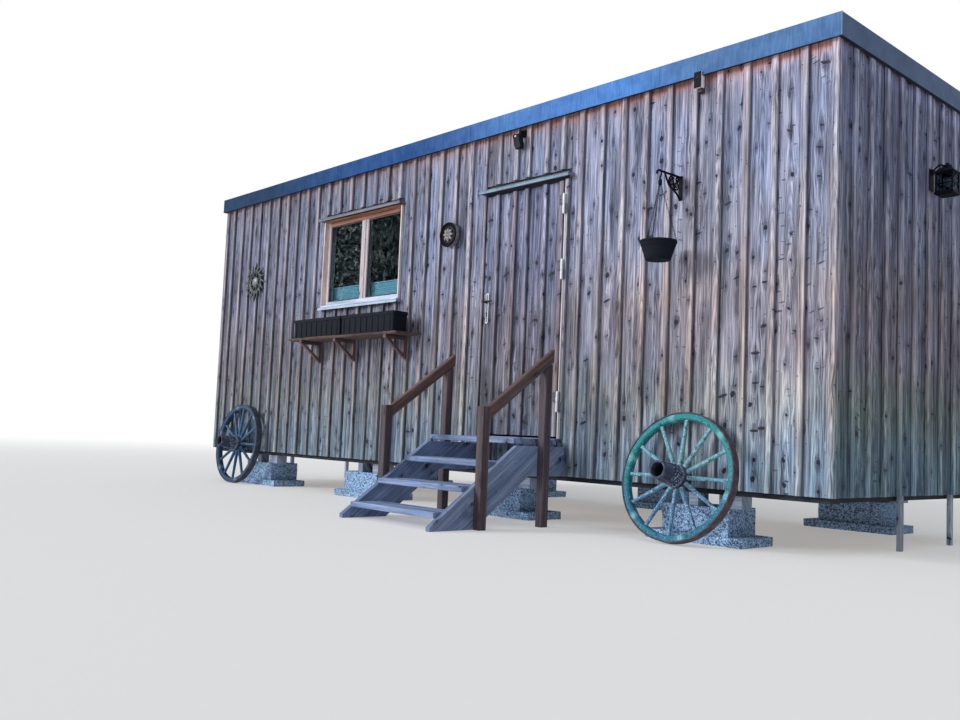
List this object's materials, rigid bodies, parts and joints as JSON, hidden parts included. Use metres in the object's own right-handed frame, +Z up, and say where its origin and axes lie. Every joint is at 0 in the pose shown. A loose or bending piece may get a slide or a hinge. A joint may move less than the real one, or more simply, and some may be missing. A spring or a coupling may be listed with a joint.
{
  "type": "timber cabin",
  "caption": "Flat-roofed timber-clad cabin on stone piers, with a hinged door, a window, an entrance stair with handrails and old wagon wheels leaning on its front.",
  "frame": {"origin": "on the ground, under the middle of the whole object's box", "axes": "+X along the front towards the end with the lantern, +Y from the front to the back, +Z up"},
  "size_m": [7.77, 3.835, 3.26],
  "materials": {
    "granite": "rough, speckled",
    "raw_timber": "matt, sawn",
    "inner_timber": "matt, planed",
    "dark_steel": "matt, dusty",
    "weathered_boards": "matt, weathered silver-grey",
    "membrane": "matt",
    "fascia_metal": "satin",
    "larch": "oiled, orange-brown",
    "pane": "clear",
    "blind": "pleated, matt",
    "flashing": "satin",
    "bright_metal": "satin",
    "grey_timber": "matt, weathered",
    "stained_timber": "stained, worn",
    "dark_plastic": "satin",
    "white_plastic": "satin",
    "black_iron": "satin",
    "old_iron": "matt, aged",
    "rusty_iron": "rusted",
    "rim_paint": "old flaking paint",
    "spoke_paint": "old worn paint",
    "hub_wood": "dark, weathered"
  },
  "bodies": {
    "cabin": {"stone_piers": "granite", "timber_packers": "raw_timber", "chassis_beams": "dark_steel", "cross_beams": "dark_steel", "floor_cassette": "raw_timber", "floor_boards": "inner_timber", "front_wall_left": "inner_timber", "front_wall_at_window": "inner_timber", "front_wall_middle": "inner_timber", "front_wall_over_door": "inner_timber", "front_wall_right": "inner_timber", "back_wall": "inner_timber", "end_walls": "inner_timber", "front_cladding": "weathered_boards", "back_cladding": "weathered_boards", "end_cladding": "weathered_boards", "roof_deck": "inner_timber", "roof_membrane": "membrane", "long_fascias": "fascia_metal", "end_fascias": "fascia_metal", "window_frame": "larch", "window_glass": "pane", "window_blind": "blind", "metal_flashings": "flashing", "door_frame": "larch", "door_threshold": "larch", "door_hinge_pins": "bright_metal", "stair_stringers": "grey_timber", "stair_treads": "grey_timber", "stair_posts": "stained_timber", "stair_handrails": "stained_timber", "flower_shelf": "stained_timber", "planter_boxes": "dark_plastic", "basket_bracket": "black_iron", "hanging_pot": "dark_plastic", "wall_lantern": "black_iron", "spot_light": "dark_plastic", "sensor_box": "white_plastic", "sun_plaque": "old_iron", "round_plaque": "old_iron", "wheel_rims": "rim_paint", "wheel_tyres": "rusty_iron", "wheel_spokes": "spoke_paint", "wheel_hubs": "hub_wood"},
    "door": {"door_leaf": "larch", "door_cladding": "weathered_boards", "door_handle": "bright_metal", "door_hinge_leaves": "bright_metal"}
  },
  "joints": [
    {"name": "door_swing", "type": "hinge", "parent": "cabin", "child": "door", "pos_m": [1.532, -0.6825, 1.6], "axis": [0, 0, 1], "range_deg": [0, 90]}
  ]
}
